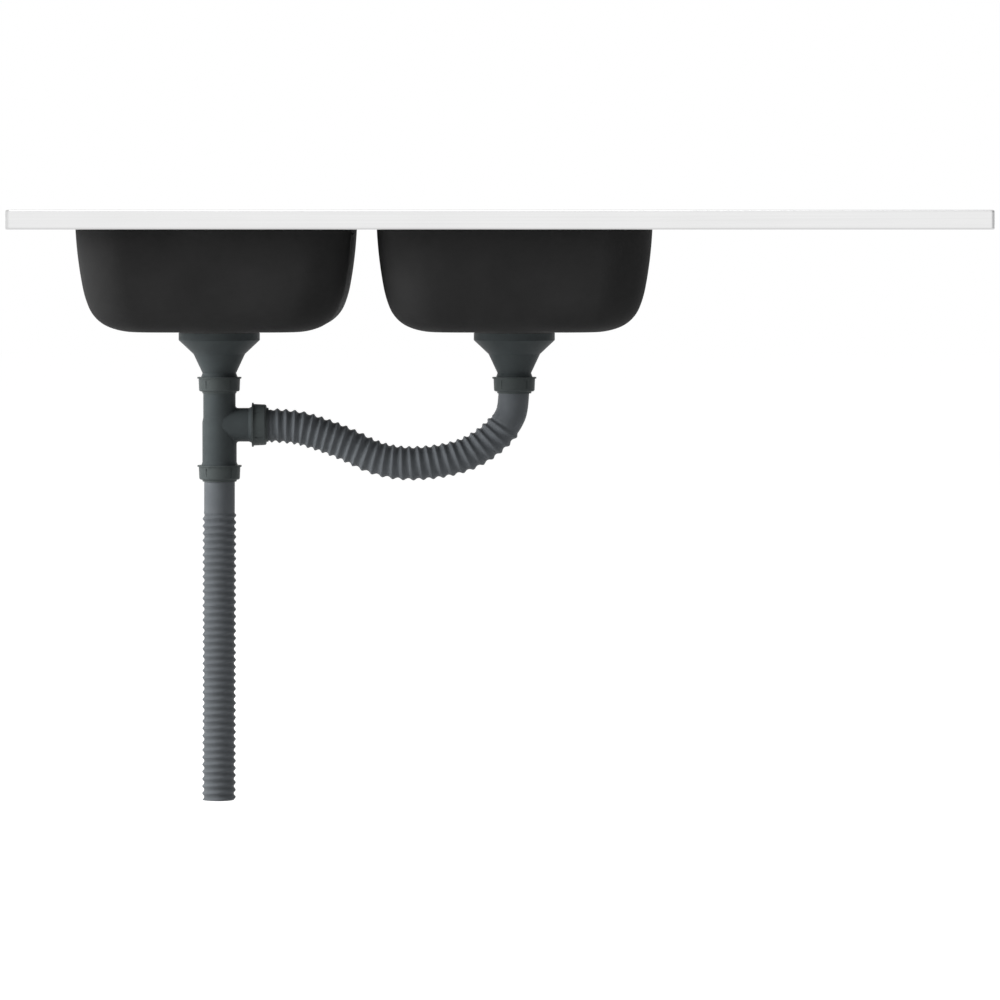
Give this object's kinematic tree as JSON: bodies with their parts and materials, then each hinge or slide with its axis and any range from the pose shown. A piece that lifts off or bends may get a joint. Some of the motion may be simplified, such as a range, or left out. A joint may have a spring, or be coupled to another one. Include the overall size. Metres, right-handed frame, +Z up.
{
  "type": "double bowl kitchen sink",
  "caption": "Lay-on kitchen sink: side-by-side bowls, ribbed drainer, lift-out strainer baskets and a waste set with link hose and drain hose.",
  "frame": {"origin": "middle of the deck in plan, on the plane that the folded edge rests on", "axes": "+X along the sink towards the drainer, -Y is the front, +Z up out of the bowls"},
  "size_m": [1.2, 0.6, 0.743],
  "materials": {
    "deck_steel": "brushed",
    "bowl_steel": "satin",
    "sound_coat": "matte",
    "strainer_steel": "polished",
    "screw_steel": "satin",
    "knob_steel": "polished",
    "insert_brass": "machined",
    "gasket_rubber": "matte",
    "fitting_plastic": "satin",
    "nut_plastic": "satin",
    "hose_plastic": "satin"
  },
  "bodies": {
    "sink": {"deck": "deck_steel", "left_bowl": "bowl_steel", "left_sound_coat": "sound_coat", "left_strainer_flange": "strainer_steel", "left_flange_gasket": "gasket_rubber", "left_body_gasket": "gasket_rubber", "left_clamp_screw": "screw_steel", "left_screw_insert": "insert_brass", "left_waste_body": "fitting_plastic", "left_waste_nut": "nut_plastic", "left_waste_washer": "gasket_rubber", "right_bowl": "bowl_steel", "right_sound_coat": "sound_coat", "right_strainer_flange": "strainer_steel", "right_flange_gasket": "gasket_rubber", "right_body_gasket": "gasket_rubber", "right_clamp_screw": "screw_steel", "right_screw_insert": "insert_brass", "right_waste_body": "fitting_plastic", "right_waste_nut": "nut_plastic", "right_waste_washer": "gasket_rubber", "waste_tee": "fitting_plastic", "tee_branch_nut": "nut_plastic", "tee_branch_washer": "gasket_rubber", "tee_lower_nut": "nut_plastic", "tee_lower_washer": "gasket_rubber", "link_hose": "hose_plastic", "drain_hose": "hose_plastic"},
    "left_basket": {"left_basket": "strainer_steel", "left_basket_seal": "gasket_rubber", "left_basket_knob": "knob_steel"},
    "right_basket": {"right_basket": "strainer_steel", "right_basket_seal": "gasket_rubber", "right_basket_knob": "knob_steel"}
  },
  "joints": [
    {"name": "left_basket_lift", "type": "slide", "parent": "sink", "child": "left_basket", "axis": [0, 0, 1], "range_m": [0, 0.185]},
    {"name": "right_basket_lift", "type": "slide", "parent": "sink", "child": "right_basket", "axis": [0, 0, 1], "range_m": [0, 0.185]}
  ]
}
